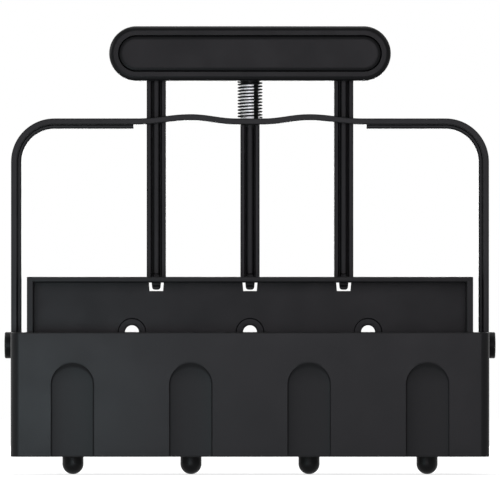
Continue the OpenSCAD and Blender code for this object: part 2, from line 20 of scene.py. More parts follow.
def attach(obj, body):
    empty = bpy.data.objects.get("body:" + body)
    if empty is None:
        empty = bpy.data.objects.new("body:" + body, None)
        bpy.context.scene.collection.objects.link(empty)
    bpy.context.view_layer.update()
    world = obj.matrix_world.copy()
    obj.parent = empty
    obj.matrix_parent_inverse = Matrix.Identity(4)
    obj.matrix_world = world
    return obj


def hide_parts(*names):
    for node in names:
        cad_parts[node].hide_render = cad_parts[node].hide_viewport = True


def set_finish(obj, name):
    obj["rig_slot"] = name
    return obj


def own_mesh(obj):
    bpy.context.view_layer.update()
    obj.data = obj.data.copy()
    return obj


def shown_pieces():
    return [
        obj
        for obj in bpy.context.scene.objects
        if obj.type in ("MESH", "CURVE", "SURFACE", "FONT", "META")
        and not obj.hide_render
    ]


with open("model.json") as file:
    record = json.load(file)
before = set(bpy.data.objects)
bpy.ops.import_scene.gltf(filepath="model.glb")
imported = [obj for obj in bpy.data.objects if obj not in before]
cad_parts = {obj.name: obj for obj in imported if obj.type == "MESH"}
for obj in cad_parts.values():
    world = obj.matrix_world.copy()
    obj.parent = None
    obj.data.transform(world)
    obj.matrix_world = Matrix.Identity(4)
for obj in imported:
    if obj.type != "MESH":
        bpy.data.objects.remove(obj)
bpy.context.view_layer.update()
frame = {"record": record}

# %% [markdown]
# ## Camera
# The photograph looks straight at the front, and shows no perspective: the
# near and the far wall of the moulds have the same width. An orthographic
# camera would do this, but it keeps its framing when the view moves. A very
# long lens far away gives the same flat picture and still works from any side.

# %% The camera
MM = 0.001
PICTURE_WIDTH = 223.35 * MM  # what the square picture spans at FOCUS_PLANE
FOCUS_PLANE = -14.0 * MM  # between the fronts of the handle and the moulds
EYE_HEIGHT = 100.28 * MM
LENS, SENSOR = 1500.0, 36.0

lens = bpy.data.cameras.new("long_lens")
lens.lens, lens.sensor_width = LENS, SENSOR
camera = bpy.data.objects.new("camera", lens)
bpy.context.scene.collection.objects.link(camera)
distance = PICTURE_WIDTH * LENS / SENSOR
camera.location = (0.0, FOCUS_PLANE - distance, EYE_HEIGHT)
camera.rotation_euler = (np.pi / 2, 0.0, 0.0)
lens.clip_start, lens.clip_end = 1.0, 30.0
bpy.context.scene.camera = camera
bpy.context.scene.view_settings.view_transform = "Standard"
print(f"camera {distance:.2f} m away, {PICTURE_WIDTH / MM:.2f} mm across")

# %% [markdown]
# ## From arrays to a mesh
# Every new piece is a surface worked out with numpy. A grid of points is a
# function of two parameters, and its faces follow from the shape of the grid
# alone. Flat ends are filled with triangles. Parts of a piece repeat the
# points that they share, and merging them by distance closes the seams and
# the poles. The weighted normals keep big flat faces flat beside the small
# rounded edges.

# %% Grids and caps
def grid(points, closed=True):
    """Quads over an array of rows x columns x 3 points. Closed joins the last
    column to the first."""
    rows, columns = points.shape[:2]
    row = np.arange(rows - 1)[:, None]
    here = np.arange(columns if closed else columns - 1)[None, :]
    there = (here + 1) % columns
    quads = [
        row * columns + here,
        row * columns + there,
        (row + 1) * columns + there,
        (row + 1) * columns + here,
    ]
    return points.reshape(-1, 3), np.stack(quads, -1).reshape(-1, 4)


def cap(*loops):
    """Flat face inside the first loop and outside the others, in triangles."""
    lines = [[Vector(p) for p in loop] for loop in loops]
    return np.concatenate(loops), np.array(tessellate_polygon(lines))


# %% A finished piece
def make_mesh(name, parts):
    """One mesh from (points in millimetres, faces) pairs, merged and closed,
    with its faces turned outwards."""
    firsts = np.cumsum([0] + [len(points) for points, faces in parts])
    points = np.concatenate([points for points, faces in parts]) * MM
    corners = [(faces + first).ravel() for (_, faces), first in zip(parts, firsts)]
    sizes = np.concatenate([np.full(len(f), f.shape[1]) for _, f in parts])
    corners = np.concatenate(corners)
    mesh = bpy.data.meshes.new(name)
    mesh.vertices.add(len(points))
    mesh.vertices.foreach_set("co", points.ravel())
    mesh.loops.add(len(corners))
    mesh.loops.foreach_set("vertex_index", corners)
    mesh.polygons.add(len(sizes))
    mesh.polygons.foreach_set("loop_start", np.cumsum(sizes) - sizes)
    mesh.update(calc_edges=True)
    shape = bmesh.new()
    shape.from_mesh(mesh)
    bmesh.ops.remove_doubles(shape, verts=shape.verts, dist=0.002 * MM)
    bmesh.ops.recalc_face_normals(shape, faces=shape.faces)
    shape.to_mesh(mesh)
    open_edges = sum(1 for e in shape.edges if len(e.link_faces) != 2)
    shape.free()
    print(f"{name}: {len(mesh.polygons)} faces, {open_edges} open edges")
    return mesh


def make_object(name, parts):
    """A mesh object at the origin, in the scene."""
    made = bpy.data.objects.new(name, make_mesh(name, parts))
    bpy.context.scene.collection.objects.link(made)
    return made


def finish_piece(piece, body, slot, nodes, sharp=50.0):
    """Smooths a piece, ties it to its body and lets it stand for CAD nodes."""
    piece.data.shade_smooth()
    piece.data.set_sharp_from_angle(angle=np.radians(sharp))
    flat = piece.modifiers.new("flat_faces_stay_flat", "WEIGHTED_NORMAL")
    flat.keep_sharp = True
    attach(piece, body)
    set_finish(piece, slot)
    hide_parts(*nodes)
    return piece


# %% [markdown]
# ## Rounded edges
# No moulded edge is sharp. A small quarter circle catches a line of light,
# and that line is what tells the eye where one face ends. So an outline is
# carried up the edge of a plate on a quarter circle: the outline shrinks as it
# nears each face. A hole runs the other way round, so the same rule makes it
# grow.

# %% Outlines
def rounded(points, radius, steps=5):
    """Outline with an arc at each corner: the arc's centre lies on the
    corner's bisector, at radius / sin(half the corner's angle)."""
    corner = np.asarray(points, float)
    r = np.broadcast_to(np.asarray(radius, float), len(corner))[:, None]
    back = np.roll(corner, 1, 0) - corner
    ahead = np.roll(corner, -1, 0) - corner
    back /= np.linalg.norm(back, axis=1, keepdims=True)
    ahead /= np.linalg.norm(ahead, axis=1, keepdims=True)
    half = np.arccos(np.sum(back * ahead, 1, keepdims=True)) / 2
    middle = back + ahead
    middle /= np.linalg.norm(middle, axis=1, keepdims=True)
    centre = corner + middle * r / np.sin(half)
    start = corner + back * r / np.tan(half) - centre
    end = corner + ahead * r / np.tan(half) - centre
    first = np.arctan2(start[:, 1], start[:, 0])[:, None]
    turn = np.arctan2(end[:, 1], end[:, 0])[:, None] - first
    turn = (turn + np.pi) % (2 * np.pi) - np.pi
    angle = first + turn * np.linspace(0, 1, steps + 1)
    around = np.stack([np.cos(angle), np.sin(angle)], -1)
    return (centre[:, None] + r[:, None] * around).reshape(-1, 2)


def rectangle(x0, x1, y0, y1):
    return np.array([[x0, y0], [x1, y0], [x1, y1], [x0, y1]], float)


def circle(x, y, radius, steps=48):
    angle = np.linspace(0, 2 * np.pi, steps, endpoint=False)
    return np.stack([x + radius * np.cos(angle), y + radius * np.sin(angle)], -1)


def without_repeats(loop):
    """The outline without points that repeat the one before."""
    return loop[np.abs(loop - np.roll(loop, 1, 0)).max(1) > 1e-6]


def mitres(loop):
    """How far each point moves when its outline grows by one: the sum of the
    normals of its two sides over one plus their dot product."""
    side = np.roll(loop, -1, 0) - loop
    side /= np.linalg.norm(side, axis=1, keepdims=True)
    after = np.stack([side[:, 1], -side[:, 0]], -1)
    before = np.roll(after, 1, 0)
    return (before + after) / (1 + np.sum(before * after, 1, keepdims=True))


# %% Walls and plates
FACING = {"up": [0, 1, 2], "front": [0, 2, 1], "side": [2, 0, 1]}


def wall(loop, inset, height, facing="up"):
    """Outline carried along a profile of insets and heights, one row each.
    The outline lies in X and Y, in X and Z (front) or in Y and Z (side)."""
    inset = np.asarray(inset, float)[:, None, None]
    height = np.asarray(height, float)[:, None, None]
    flat = loop - mitres(loop) * inset
    rise = np.broadcast_to(height, flat[..., :1].shape)
    return np.concatenate([flat, rise], -1)[..., FACING[facing]]


def quarter(radius, steps=4):
    """Quarter circle from a face to the edge: how far in, and how far down."""
    turn = np.linspace(0, np.pi / 2, steps + 1)
    return radius * (1 - np.sin(turn)), radius * (1 - np.cos(turn))


def plate(outline, low, high, radius=0.4, facing="up", holes=()):
    """Plate between two heights with all its edges rounded. A pair of radii
    rounds the edges of the low and of the high face."""
    low_radius, high_radius = np.broadcast_to(radius, 2)
    low_in, low_rise = quarter(low_radius)
    high_in, high_drop = quarter(high_radius)
    inset = np.concatenate([low_in, high_in[::-1]])
    height = np.concatenate([low + low_rise, high - high_drop[::-1]])
    loops = [outline] + [hole[::-1] for hole in holes]
    walls = [wall(loop, inset, height, facing) for loop in loops]
    faces = [cap(*[w[0] for w in walls]), cap(*[w[-1] for w in walls])]
    return [grid(w) for w in walls] + faces


# %% Turned shapes
def lathe(profile, centre, along="z", steps=64):
    """Profile of (radius, height) pairs turned round an axis: the two other
    coordinates are radius times cosine and radius times sine of the turn."""
    radius, height = np.asarray(profile, float).T[:, :, None]
    turn = np.linspace(0, 2 * np.pi, steps, endpoint=False)
    a = centre[0] + radius * np.cos(turn)
    b = centre[1] + radius * np.sin(turn)
    rise = np.broadcast_to(height, a.shape)
    order = [a, b, rise] if along == "z" else [rise, a, b]
    return grid(np.stack(order, -1))


def arc(centre, radius, start, end, steps=6):
    """Points of an arc from one angle to another, in degrees."""
    angle = np.radians(np.linspace(start, end, steps + 1))
    return np.stack(
        [centre[0] + radius * np.cos(angle), centre[1] + radius * np.sin(angle)], -1
    )


# %% Shapes carried along a path
def carry(section, path, sideways, upwards):
    """Section of (a, b) points carried along a path: each point is the path's
    point plus a times the sideways arrow plus b times the upwards arrow. The
    section may change from place to place. Both ends are filled."""
    section = np.broadcast_to(section, (len(path),) + np.shape(section)[-2:])
    points = (
        path[:, None]
        + section[..., :1] * sideways[:, None]
        + section[..., 1:] * upwards[:, None]
    )
    return [grid(points), cap(points[0]), cap(points[-1])]


# %% [markdown]
# ## The moulds
# The black box is one moulding: four square cells in a row, open above and
# below. An arched flute runs up the wall of every cell. Drawing arches on a
# plain grid leaves stair steps, so each cell has a grid of its own. One
# parameter walks round the border of the cell, the other goes straight out
# from the flute's middle line to that border. Below the arch these lines are
# level, and above it they fan out, so one set of lines follows the flute.

# %% Sizes of the moulds, in millimetres
HALF_LENGTH, HALF_DEPTH = 106.8, 28.4
MOULD_BOTTOM, RIM = 8.0, 63.5
INNER_LENGTH, INNER_DEPTH = 104.6, 25.4
CORNER, INNER_CORNER = 4.0, 1.0
PITCH = 52.8
CELL_MIDDLES = PITCH * np.array([-1.5, -0.5, 0.5, 1.5])
DIVIDERS = PITCH * np.array([-1.0, 0.0, 1.0])
LIP = 0.5
FLUTE_RADIUS, FLUTE_CENTRE = 9.45, 40.25
FLUTE_OUTLINE = FLUTE_RADIUS + 0.25  # where its slope meets the wall
FLUTE_STEP, FLUTE_DISH, FLUTE_SLOPE = 0.8, 0.5, 0.8
POCKET_FLOOR, POCKET_BACK, POCKET_HALF = 50.9, 102.0, 10.5
BULGE_FLOOR, BULGE_FACE, BULGE_HALF = 49.3, 100.4, 12.1


# %% The shape of a flute
def flute_depth(reach, rise=0.0):
    """Depth at a distance from the flute's middle line: a step, and a dish
    (1 - (reach / radius) ^ 2.5). A slope ends it, steepest at the outline: it
    is 0.8 mm wide at the sides, and three times as wide at the crown, where
    rise goes to 1."""
    share = np.clip(reach / FLUTE_RADIUS, 0, 1)
    dish = FLUTE_STEP + FLUTE_DISH * (1 - share**2.5)
    width = FLUTE_SLOPE * (1 + 2 * rise)
    edge = np.clip((reach - FLUTE_OUTLINE) / width + 1, 0, 1)
    return dish * (1 - edge**3)


def flute_reach(x, z):
    """Distance from the nearest flute's middle line, which ends at the centre
    of its arch."""
    across = x - CELL_MIDDLES[np.abs(x[..., None] - CELL_MIDDLES).argmin(-1)]
    return np.hypot(across, np.maximum(z - FLUTE_CENTRE, 0))


# %% The fluted wall of one cell
LEVELS = np.concatenate(
    [
        np.linspace(MOULD_BOTTOM + LIP, FLUTE_CENTRE, 8),
        np.linspace(FLUTE_CENTRE, POCKET_FLOOR, 9)[1:],
        np.linspace(POCKET_FLOOR, RIM - LIP, 9)[1:],
    ]
)
WALL_END = HALF_LENGTH - CORNER
CELL_EDGES = np.concatenate([[-WALL_END], DIVIDERS, [WALL_END]])
TOP_STEPS = np.linspace(0, 1, 33)
# Where the columns of the grid lie: over the dish as shares of the radius, down
# the slope in millimetres from its outline, and from there to the border.
OVER_DISH = np.array([0, 0.2, 0.4, 0.55, 0.68, 0.76])
DOWN_SLOPE = [2.4, 2.0, 1.65, 1.35, 1.1, 0.9, 0.75, 0.6, 0.45, 0.32, 0.2, 0.1, 0]
TO_BORDER = np.array([0.06, 0.2, 0.5, 1.0])


def fluted_cell(cell):
    """Grid over one cell's front wall: rows walk up the left border, along
    the top and down the right border, columns go out from the middle line."""
    left, right = CELL_EDGES[cell], CELL_EDGES[cell + 1]
    top = np.full(len(TOP_STEPS) - 2, RIM - LIP)
    border_x = np.concatenate(
        [
            np.full(len(LEVELS), left),
            left + (right - left) * TOP_STEPS[1:-1],
            np.full(len(LEVELS), right),
        ]
    )
    border_z = np.concatenate([LEVELS, top, LEVELS[::-1]])
    middle_z = np.minimum(border_z, FLUTE_CENTRE)
    away_x, away_z = border_x - CELL_MIDDLES[cell], border_z - middle_z
    length = np.hypot(away_x, away_z)[:, None]
    fixed = np.append(OVER_DISH * FLUTE_RADIUS, FLUTE_OUTLINE - np.array(DOWN_SLOPE))
    reach = np.concatenate(
        [
            np.broadcast_to(fixed, (len(length), len(fixed))),
            FLUTE_OUTLINE + (length - FLUTE_OUTLINE) * TO_BORDER,
        ],
        1,
    )
    x = CELL_MIDDLES[cell] + away_x[:, None] / length * reach
    z = middle_z[:, None] + away_z[:, None] / length * reach
    rise = (away_z[:, None] / length) ** 2
    return np.stack([x, -HALF_DEPTH + flute_depth(reach, rise), z], -1)


front_cells = [fluted_cell(cell) for cell in range(4)]
print("one fluted cell is a grid of", front_cells[0].shape[:2])

# %% [markdown]
# The two ends of the box have a pocket each, which takes a leg of the bail.
# The end wall is a grid of levels along a plan. The plan has a plain form and
# one with the pocket, and the level of the pocket's floor is used twice, once
# with each: the step between them is the floor. Where both plans agree, the
# doubled points merge.

# %% The end walls and the inside
corner_arc = arc((WALL_END, -HALF_DEPTH + CORNER), CORNER, -90, 0, 8)


def stepped_plan(face, deep, half, ends):
    """Two plans along Y with the same number of points: a plain one, and one
    that steps from the face to its deep place between -half and half."""
    between = np.linspace(-half, half, 9)
    y = np.concatenate([[-ends], [-half], between, [half], [ends]])
    plain = np.stack([np.full(len(y), face), y], -1)
    stepped = plain.copy()
    stepped[2:-2, 0] = deep
    return plain, stepped


def levels_of(plain, stepped, floor, levels):
    """Rows of the plain plan up to the floor, then rows of the stepped one."""
    low, high = levels[levels <= floor], levels[levels >= floor]
    rows = [plain] * len(low) + [stepped] * len(high)
    heights = np.concatenate([low, high])
    rise = np.broadcast_to(heights[:, None, None], (len(rows), len(plain), 1))
    return np.concatenate([np.array(rows), rise], -1)


end_plain, end_pocket = stepped_plan(
    HALF_LENGTH, POCKET_BACK, POCKET_HALF, HALF_DEPTH - CORNER
)
turned = corner_arc[::-1] * [1, -1]
end_plain = np.concatenate([corner_arc[:-1], end_plain, turned[1:]])
end_pocket = np.concatenate([corner_arc[:-1], end_pocket, turned[1:]])
right_end = levels_of(end_plain, end_pocket, POCKET_FLOOR, LEVELS)

inner_end = INNER_DEPTH - INNER_CORNER
inner_corner = arc((INNER_LENGTH - INNER_CORNER, -inner_end), INNER_CORNER, -90, 0, 4)
side_plain, side_bulge = stepped_plan(INNER_LENGTH, BULGE_FACE, BULGE_HALF, inner_end)
inner_half = [
    np.concatenate([inner_corner[:-1], plan, inner_corner[::-1][1:] * [1, -1]])
    for plan in (side_plain, side_bulge)
]
inner_plain, inner_bulge = [np.concatenate([p, -p]) for p in inner_half]
inner_levels = np.array([MOULD_BOTTOM + LIP, BULGE_FLOOR, RIM - LIP])
inside = levels_of(inner_plain, inner_bulge, BULGE_FLOOR, inner_levels)
print("end wall grid", right_end.shape[:2], "and inside grid", inside.shape[:2])

# %% The rim and the foot
inset, drop = quarter(LIP)
top_front = np.concatenate(
    [c[len(LEVELS) - 1 : -len(LEVELS), -1, :2] for c in front_cells]
)
foot_front = np.concatenate(
    [np.concatenate([c[0, :0:-1, :2], c[-1, :-1, :2]]) for c in front_cells]
)


def round_the_box(front, end):
    """Plan loop of the whole box from its front and its right end."""
    return np.concatenate([front, end[:-1], -front, -end[:-1]])


rim_outside = round_the_box(top_front, end_pocket)
foot_outside = round_the_box(foot_front, end_plain)
rim_walls = [
    wall(loop, inset[::-1], RIM - drop[::-1])
    for loop in (rim_outside, inner_bulge[::-1])
]
foot_walls = [
    wall(without_repeats(loop), inset[::-1], MOULD_BOTTOM + drop[::-1])
    for loop in (foot_outside, inner_plain[::-1])
]

# %% The box with its dividers
DIVIDER_TOP, DIVIDER_HALF = 56.5, 1.0
DIVIDER_END = INNER_DEPTH + 0.5  # its edges are sunk into the walls
mould_parts = [grid(c, closed=False) for c in front_cells]
mould_parts += [grid(c * [1, -1, 1], closed=False) for c in front_cells]
mould_parts += [grid(right_end * [side, 1, 1], closed=False) for side in (1, -1)]
mould_parts += [grid(inside)] + [grid(w) for w in rim_walls + foot_walls]
mould_parts += [cap(*[w[-1] for w in rim_walls]), cap(*[w[-1] for w in foot_walls])]
mould = make_object("moulds", mould_parts)
divider_outline = rectangle(-DIVIDER_END, DIVIDER_END, MOULD_BOTTOM, DIVIDER_TOP)
divider_outline = rounded(divider_outline, 0.5)
divider_parts = []
for x in DIVIDERS:
    faces = x - DIVIDER_HALF, x + DIVIDER_HALF
    divider_parts += plate(divider_outline, *faces, facing="side")
dividers = make_object("mould_dividers", divider_parts)

# %% Mark the flutes for the material
place = np.empty(len(mould.data.vertices) * 3, np.float32)
mould.data.vertices.foreach_get("co", place)
x, y, z = place.reshape(-1, 3).T / MM
# The material uses this mask twice: a rougher skin in the flutes, and a darker colour
# there that is painted shade for the recess.
MASK_EDGE, MASK_FADE = FLUTE_RADIUS + 0.1, 0.5
flute_share = np.clip((MASK_EDGE - flute_reach(x, z)) / MASK_FADE, 0, 1)
flute_share *= np.abs(y) > INNER_DEPTH + 0.1  # not on the inside
flute_mask = mould.data.attributes.new("flute", "FLOAT", "POINT")
flute_mask.data.foreach_set("value", flute_share.astype(np.float32))
finish_piece(mould, "mould", "mould_plastic", ["mould_housing"])
finish_piece(dividers, "mould", "mould_plastic", ["mould_housing"])
print(f"{np.mean(flute_share > 0.5):.0%} of the points lie in a flute")

# %% [markdown]
# ## The bail
# The bail is a strap that rises from both ends of the box and crosses over.
# A narrower rib inside stiffens it, but stops short of the middle, where two
# low waves make room for the fingers. A section that is carried along a path
# is the natural way to build a strap. The section's width is a function of
# the place on the path, which rounds the feet of the legs.

# %% The path of the strap
STRAP, RIB = 2.7, 1.9
STRAP_HALF, RIB_HALF = 10.0, 6.0
STRAP_EDGE, RIB_EDGE = 0.45, 0.8
SUNK_RIB = 0.2  # how far the rib goes into the strap
BAR_TOP = 159.1
BEND = 19.4
LEG_FOOT, FOOT_RADIUS = 51.2, 5.0
WAVE, WAVE_IN, WAVE_OUT = 1.9, 20.2, 24.0
RIB_END = 52.1


def wave(x):
    """Height over the level strap: a raised cosine on each side of a crest."""
    away = np.abs(x) - PITCH / 2
    share = np.clip(np.abs(away) / np.where(away < 0, WAVE_IN, WAVE_OUT), 0, 1)
    return WAVE * (1 + np.cos(np.pi * share)) / 2


def right_leg(depth, end_x):
    """Path in X and Z at a depth below the outer face: up the right leg,
    round the bend and along the crossbar to an end."""
    outer = HALF_LENGTH - BEND
    foot = LEG_FOOT + FOOT_RADIUS * (1 - np.cos(np.linspace(0, np.pi / 2, 9)))
    up = np.concatenate([foot, np.linspace(foot[-1], BAR_TOP - BEND, 6)[1:-1]])
    leg = np.stack([np.full(len(up), HALF_LENGTH - depth), up], -1)
    bend = arc((outer, BAR_TOP - BEND), BEND - depth, 0, 90, 24)
    x = np.linspace(outer, end_x, max(2, int((outer - end_x) / 1.5)))[1:]
    return np.concatenate([leg, bend, np.stack([x, BAR_TOP - depth + wave(x)], -1)])


def strap_along(path, half_width, thickness, radius):
    """Section of a strap along a path in X and Z. The width shrinks round the
    feet: half width = straight part + root(foot radius^2 - height left^2)."""
    side = np.gradient(path, axis=0)
    side /= np.linalg.norm(side, axis=1, keepdims=True)
    up = np.stack([side[:, 1], np.zeros(len(path)), -side[:, 0]], -1)
    left = np.clip(LEG_FOOT + FOOT_RADIUS - path[:, 1], 0, FOOT_RADIUS)
    half = half_width - FOOT_RADIUS + np.sqrt(FOOT_RADIUS**2 - left**2)
    unit = rounded(rectangle(-1, 1, -1, 1), 0.3)
    corner = np.sign(unit)
    small = rounded(rectangle(-1, 1, -1, 1), 1.0) - corner
    reach = np.stack([half, np.full(len(path), thickness / 2)], -1)[:, None]
    section = corner * reach + small * radius
    centre = np.stack([path[:, 0], np.zeros(len(path)), path[:, 1]], -1)
    across = np.broadcast_to([0.0, 1.0, 0.0], centre.shape)
    return carry(section, centre, across, up)


# %% The strap, the rib and their holes
half_path = right_leg(STRAP / 2, 0.0)
whole_path = np.concatenate([half_path, half_path[-2::-1] * [-1, 1]])
bail_parts = strap_along(whole_path, STRAP_HALF, STRAP, STRAP_EDGE)
rib_path = right_leg(STRAP + (RIB - SUNK_RIB) / 2, RIB_END)
for side in (1, -1):
    bail_parts += strap_along(rib_path * [side, 1], RIB_HALF, RIB + SUNK_RIB, RIB_EDGE)
bail = make_object("bail", bail_parts)

PILLARS = np.array([-41.9, 0.0, 41.9])
HOLE = 4.65  # half the width of the square holes, radius of the round one


def cut(piece, parts):
    """Takes a shape out of a piece and keeps the result as plain mesh."""
    cutter = make_object("cutter", parts)
    hollow = piece.modifiers.new("hollow", "BOOLEAN")
    hollow.object, hollow.solver = cutter, "EXACT"
    hollow.use_self = True
    seen = piece.evaluated_get(bpy.context.evaluated_depsgraph_get())
    cut_mesh = bpy.data.meshes.new_from_object(seen)
    piece.modifiers.clear()
    piece.data = cut_mesh
    bpy.data.objects.remove(cutter)
    print(f"{piece.name}: {len(cut_mesh.polygons)} faces after the cut")


through = (BAR_TOP - STRAP - RIB - 2, BAR_TOP + WAVE + 2)
hole_parts = plate(circle(0, 0, HOLE), *through)
for x in PILLARS[[0, 2]]:
    square = rounded(rectangle(x - HOLE, x + HOLE, -HOLE, HOLE), 0.3)
    hole_parts += plate(square, *through)
cut(bail, hole_parts)
finish_piece(bail, "mould", "mould_plastic", ["bail_handle"])

# %% [markdown]
# ## The pivot pins
# A headed pin holds each leg in its pocket. It is a turned shape: a profile
# of radius and height goes once round the axis. The head has a rounded rim
# and a very low dome.

# %% Pins
PIVOT = 57.7
HEAD_RADIUS, HEAD_TOP, HEAD_EDGE, DOME = 5.9, 109.9, 0.6, 0.25
SHANK, SHANK_END, CHAMFER = 2.5, 98.3, 0.4
dome_r = np.linspace(0, HEAD_RADIUS - HEAD_EDGE, 7)
head_face = HEAD_TOP - DOME * (dome_r / HEAD_RADIUS) ** 2
rim_arc = arc((dome_r[-1], head_face[-1] - HEAD_EDGE), HEAD_EDGE, 90, 0)
pin_profile = np.concatenate(
    [
        np.stack([dome_r, head_face], -1),
        rim_arc[1:],
        arc((HEAD_RADIUS - 0.2, HALF_LENGTH + 0.2), 0.2, 0, -90, 3),
        [[SHANK, HALF_LENGTH], [SHANK, SHANK_END + CHAMFER]],
        [[SHANK - CHAMFER, SHANK_END], [0, SHANK_END]],
    ]
)
for name, side in (("left", -1), ("right", 1)):
    points, faces = lathe(pin_profile, (0, PIVOT), "x")
    pin = make_object(f"{name}_pin", [(points * [side, 1, 1], faces)])
    finish_piece(pin, "mould", "pin_plastic", [f"{name}_pivot_pin"])

# %% [markdown]
# ## The press frame
# The frame slides inside the moulds. A flat flange on top carries the three
# pillars, and a thin upright web with two end plates pushes on the press
# plates. Arched slots let it straddle the dividers, each with a raised collar.
# All of these are plates, so one function that rounds the edges of any
# outline does the work.

# %% Flange, web and end plates
FRAME_HALF, FRAME_DEPTH = 99.6, 22.0
FLANGE, FRAME_TOP = 85.7, 88.3
WEB_HALF, PLATE_TOP = 96.4, 48.5
SLOT, SLOT_CENTRE, COLLAR = 3.1, 63.5, 6.4
WINDOW_HALF, WINDOW_SILL = 3.375, 81.55
NOTCH, NOTCH_CENTRE = 8.0, 66.7
WEB = 1.2
SUNK = 0.8  # how far the plates go into each other
INNER_EDGE, OUTER_EDGE = 0.8, 0.35  # radii at a plate's inner and outer face
TONGUE_HOLE, TONGUE_HOLE_DEPTH = 2.2, 2.6
inside_flange = FLANGE + SUNK

tongue_holes = [
    rectangle(x - TONGUE_HOLE, x + TONGUE_HOLE, -TONGUE_HOLE_DEPTH, TONGUE_HOLE_DEPTH)
    for x in PILLARS
]
flange_outline = rectangle(-FRAME_HALF, FRAME_HALF, -FRAME_DEPTH, FRAME_DEPTH)
flange = plate(
    rounded(flange_outline, 0.6),
    FLANGE,
    FRAME_TOP,
    (INNER_EDGE, OUTER_EDGE),
    holes=tongue_holes,
)


def arch(x, low, centre, radius):
    """Up one side of an arched slot, over its crown and down the other."""
    crown = arc((x, centre), radius, 180, 0, 24)
    return np.concatenate([[[x - radius, low]], crown, [[x + radius, low]]])


def window(x):
    """Down into a window under the flange and up again, right to left."""
    corners = rectangle(x - WINDOW_HALF, x + WINDOW_HALF, WINDOW_SILL, inside_flange)
    sill = rounded(corners, 0.4, 3)[:8]
    return np.concatenate([[corners[2]], sill[4:8], sill[:4], [corners[3]]])


web_end = WEB_HALF + SUNK
web_outline = np.concatenate(
    [[[-web_end, PLATE_TOP]]]
    + [arch(x, PLATE_TOP, SLOT_CENTRE, SLOT) for x in DIVIDERS]
    + [[[web_end, PLATE_TOP], [web_end, inside_flange]]]
    + [window(x) for x in PILLARS[::-1]]
    + [[[-web_end, inside_flange]]]
)
web = plate(web_outline, -WEB, WEB, 0.25, "front")
end_outline = np.concatenate(
    [
        [[-FRAME_DEPTH, PLATE_TOP]],
        arch(0, PLATE_TOP, NOTCH_CENTRE, NOTCH),
        [[FRAME_DEPTH, PLATE_TOP], [FRAME_DEPTH, inside_flange]],
        [[-FRAME_DEPTH, inside_flange]],
    ]
)
ends = plate(end_outline, WEB_HALF, FRAME_HALF, (INNER_EDGE, OUTER_EDGE), "side")
ends += plate(end_outline, -FRAME_HALF, -WEB_HALF, (OUTER_EDGE, INNER_EDGE), "side")


# %% Collars, sockets and the whole frame
def collar(x):
    """Disc round a slot, open below: once round the outside, then back over
    the crown of the slot."""
    half_gap = np.degrees(np.arcsin(SLOT / COLLAR))
    outside = arc((x, SLOT_CENTRE), COLLAR, half_gap - 90, 270 - half_gap, 40)
    return np.concatenate([outside, arc((x, SLOT_CENTRE), SLOT, 180, 0, 24)])


SOCKET, SOCKET_TOP, SOFT = 4.5, 62.9, 0.6
socket_profile = np.concatenate(
    [
        [[0, PLATE_TOP], [SOCKET, PLATE_TOP]],
        arc((SOCKET - SOFT, SOCKET_TOP - SOFT), SOFT, 0, 90),
        [[0, SOCKET_TOP]],
    ]
)
collars = []
for x in DIVIDERS:
    collars += plate(collar(x), -2 * WEB, 2 * WEB, SOFT, "front")
sockets = [lathe(socket_profile, (x, 0)) for x in CELL_MIDDLES]
press_frame = make_object("sliding_frame", flange + web + ends + collars + sockets)
finish_piece(press_frame, "plunger", "frame_plastic", ["press_frame"])

# %% [markdown]
# ## Pillars and dibbers
# The pillars are square posts. Two grooves in the front and two in the back
# save plastic and leave a rib between them. The grooves narrow inwards, so
# that the post leaves its mould, and this is also why they look so dark. At
# the foot the rib stops and the grooves join, so the section is carried up the
# post with its rib sunk at first. The dibbers are plain rods with round tips
# that press the seed holes.

# %% The section of a pillar
PILLAR, GROOVE_NEAR, GROOVE_FAR, GROOVE, TAPER = 4.3, 1.3, 2.45, 2.4, 0.45
quarter_section = np.array(
    [
        [PILLAR, -PILLAR],
        [PILLAR, PILLAR],
        [GROOVE_FAR, PILLAR],
        [GROOVE_FAR - TAPER, PILLAR - GROOVE],
        [GROOVE_NEAR + TAPER, PILLAR - GROOVE],
        [GROOVE_NEAR, PILLAR],
    ]
)
back_half = np.concatenate([quarter_section[1:], quarter_section[:0:-1] * [-1, 1]])
pillar_corners = np.concatenate([back_half, -back_half])
pillar_radii = np.tile([0.5, 0.2, 0.1, 0.1, 0.8, 0.8, 0.1, 0.1, 0.2, 0.5], 2)
pillar_section = rounded(pillar_corners, pillar_radii, 4)
RIB_START, RIB_FULL, PLAIN = 1.0, 1.5, 2.5  # heights over the flange


def post(top):
    """Post from the flange to a height. At the foot the front of its ribs is
    moved back to the floor of the grooves."""
    height = FRAME_TOP + np.array([0, RIB_START, RIB_FULL, PLAIN, top - FRAME_TOP])
    on_rib = np.abs(pillar_section[:, 0]) < GROOVE_NEAR + 0.02
    sunk = pillar_section.copy()
    groove_floor = PILLAR - GROOVE
    sunk[on_rib, 1] = np.clip(sunk[on_rib, 1], -groove_floor, groove_floor)
    section = np.array([sunk, sunk] + [pillar_section] * 3)
    path = np.stack([0 * height, 0 * height, height], -1)
    return carry(section, path, np.array([[1.0, 0, 0]]), np.array([[0, 1.0, 0]]))



def both_sides(half):
    """Outline down the left side and up the right one, from its right half."""
    half = np.array(half)
    return np.concatenate([half * [-1, 1], half[::-1]])


